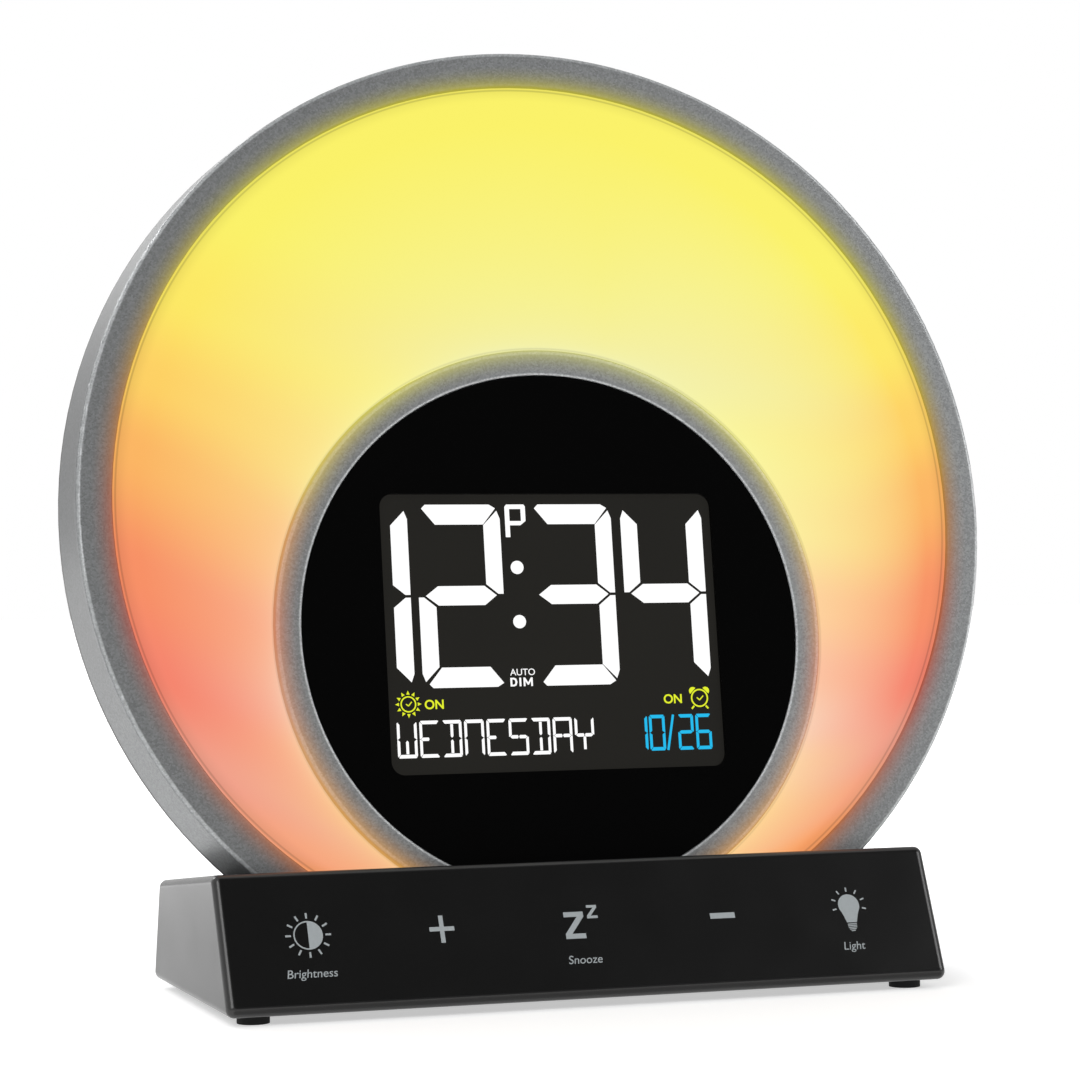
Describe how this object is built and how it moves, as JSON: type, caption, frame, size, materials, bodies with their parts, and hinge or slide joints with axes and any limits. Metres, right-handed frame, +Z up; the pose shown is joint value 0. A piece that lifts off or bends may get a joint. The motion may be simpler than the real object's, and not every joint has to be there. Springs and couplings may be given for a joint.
{
  "type": "sunrise alarm clock",
  "caption": "Round wake-up light with an inset digital clock in an off-centre ring, leaning back out of a low black base with touch keys.",
  "frame": {"origin": "on the table under the middle of the clock's box", "axes": "+Z up, +X to the right as the display is seen, the display faces -Y and the keys and the inlet face +Y"},
  "size_m": [0.2004, 0.0667, 0.1982],
  "materials": {
    "silver_paint": "silver paint with a fine sparkle",
    "milky_diffuser": "milky, lit evenly from behind",
    "gloss_black": "smooth black",
    "display_glass": "dark display glass",
    "clear_acrylic": "clear moulded",
    "black_plastic": "fine texture",
    "gloss_black_base": "satin black",
    "key_plastic": "soft touch",
    "tinned_metal": "tinned",
    "screw_steel": "blackened",
    "cell_steel": "bright",
    "aluminium_can": "plain",
    "contact_brass": "plain",
    "magnet_iron": "plain",
    "circuit_board": "lacquered board",
    "white_board": "white lacquered board",
    "chip_black": "moulded",
    "lamp_resin": "clear resin over white",
    "white_plastic": "plain",
    "paper_cone": "pressed",
    "foam_rubber": "foam",
    "foot_rubber": "plain",
    "lead_sheath": "plain"
  },
  "bodies": {
    "clock": {"outer_bezel": "silver_paint", "inner_bezel": "silver_paint", "diffuser": "milky_diffuser", "display_lens": "gloss_black", "lcd_glass": "display_glass", "backlight_guide": "clear_acrylic", "lcd_frame": "black_plastic", "lcd_pins": "tinned_metal", "main_board": "circuit_board", "controller_chip": "chip_black", "capacitors": "aluminium_can", "clock_crystal": "tinned_metal", "board_sockets": "white_plastic", "light_sensor": "clear_acrylic", "main_board_screws": "screw_steel", "reflector_tray": "white_plastic", "led_board": "white_board", "leds": "lamp_resin", "led_board_screws": "screw_steel", "rear_cover": "black_plastic", "rear_cover_screws": "screw_steel", "key_board": "circuit_board", "tact_switches": "chip_black", "key_board_screws": "screw_steel", "speaker_frame": "screw_steel", "speaker_magnet": "magnet_iron", "speaker_cone": "paper_cone", "speaker_gasket": "foam_rubber", "speaker_leads": "lead_sheath", "coin_cell": "cell_steel", "cell_holder": "black_plastic", "cell_contacts": "contact_brass", "base_shell": "gloss_black_base", "base_bottom": "black_plastic", "rubber_feet": "foot_rubber", "base_screws": "screw_steel", "stand_screws": "screw_steel", "touch_pads": "contact_brass", "touch_board": "circuit_board", "power_board": "circuit_board", "power_board_screws": "screw_steel", "dc_jack_body": "black_plastic", "dc_jack_pin": "tinned_metal", "dc_jack_spring": "contact_brass", "usb_port_shell": "tinned_metal", "usb_port_tongue": "white_plastic", "usb_port_contacts": "contact_brass", "base_ribbon": "white_plastic"},
    "alarm_key": {"alarm_key": "key_plastic"},
    "sunrise_key": {"sunrise_key": "key_plastic"},
    "clock_key": {"clock_key": "key_plastic"},
    "sound_key": {"sound_key": "key_plastic"},
    "volume_key": {"volume_key": "key_plastic"},
    "date_key": {"date_key": "key_plastic"},
    "battery_door": {"battery_door": "black_plastic"},
    "battery_door_screw": {"battery_door_screw": "screw_steel"}
  },
  "joints": [
    {"name": "alarm_key_press", "type": "slide", "parent": "clock", "child": "alarm_key", "axis": [0, -0.9898, 0.1426], "range_m": [0, 0.0006], "stiffness_N_per_m": 400, "springref_m": -0.001},
    {"name": "sunrise_key_press", "type": "slide", "parent": "clock", "child": "sunrise_key", "axis": [0, -0.9898, 0.1426], "range_m": [0, 0.0006], "stiffness_N_per_m": 400, "springref_m": -0.001},
    {"name": "clock_key_press", "type": "slide", "parent": "clock", "child": "clock_key", "axis": [0, -0.9898, 0.1426], "range_m": [0, 0.0006], "stiffness_N_per_m": 400, "springref_m": -0.001},
    {"name": "sound_key_press", "type": "slide", "parent": "clock", "child": "sound_key", "axis": [0, -0.9898, 0.1426], "range_m": [0, 0.0006], "stiffness_N_per_m": 400, "springref_m": -0.001},
    {"name": "volume_key_press", "type": "slide", "parent": "clock", "child": "volume_key", "axis": [0, -0.9898, 0.1426], "range_m": [0, 0.0006], "stiffness_N_per_m": 400, "springref_m": -0.001},
    {"name": "date_key_press", "type": "slide", "parent": "clock", "child": "date_key", "axis": [0, -0.9898, 0.1426], "range_m": [0, 0.0006], "stiffness_N_per_m": 400, "springref_m": -0.001},
    {"name": "battery_door_off", "type": "slide", "parent": "clock", "child": "battery_door", "axis": [0, 0.9898, -0.1426], "range_m": [0, 0.012]},
    {"name": "battery_door_screw_turn", "type": "hinge", "parent": "battery_door", "child": "battery_door_screw", "pos_m": [0, 0.01167, 0.03046], "axis": [0, 0.9898, -0.1426], "continuous": true}
  ]
}
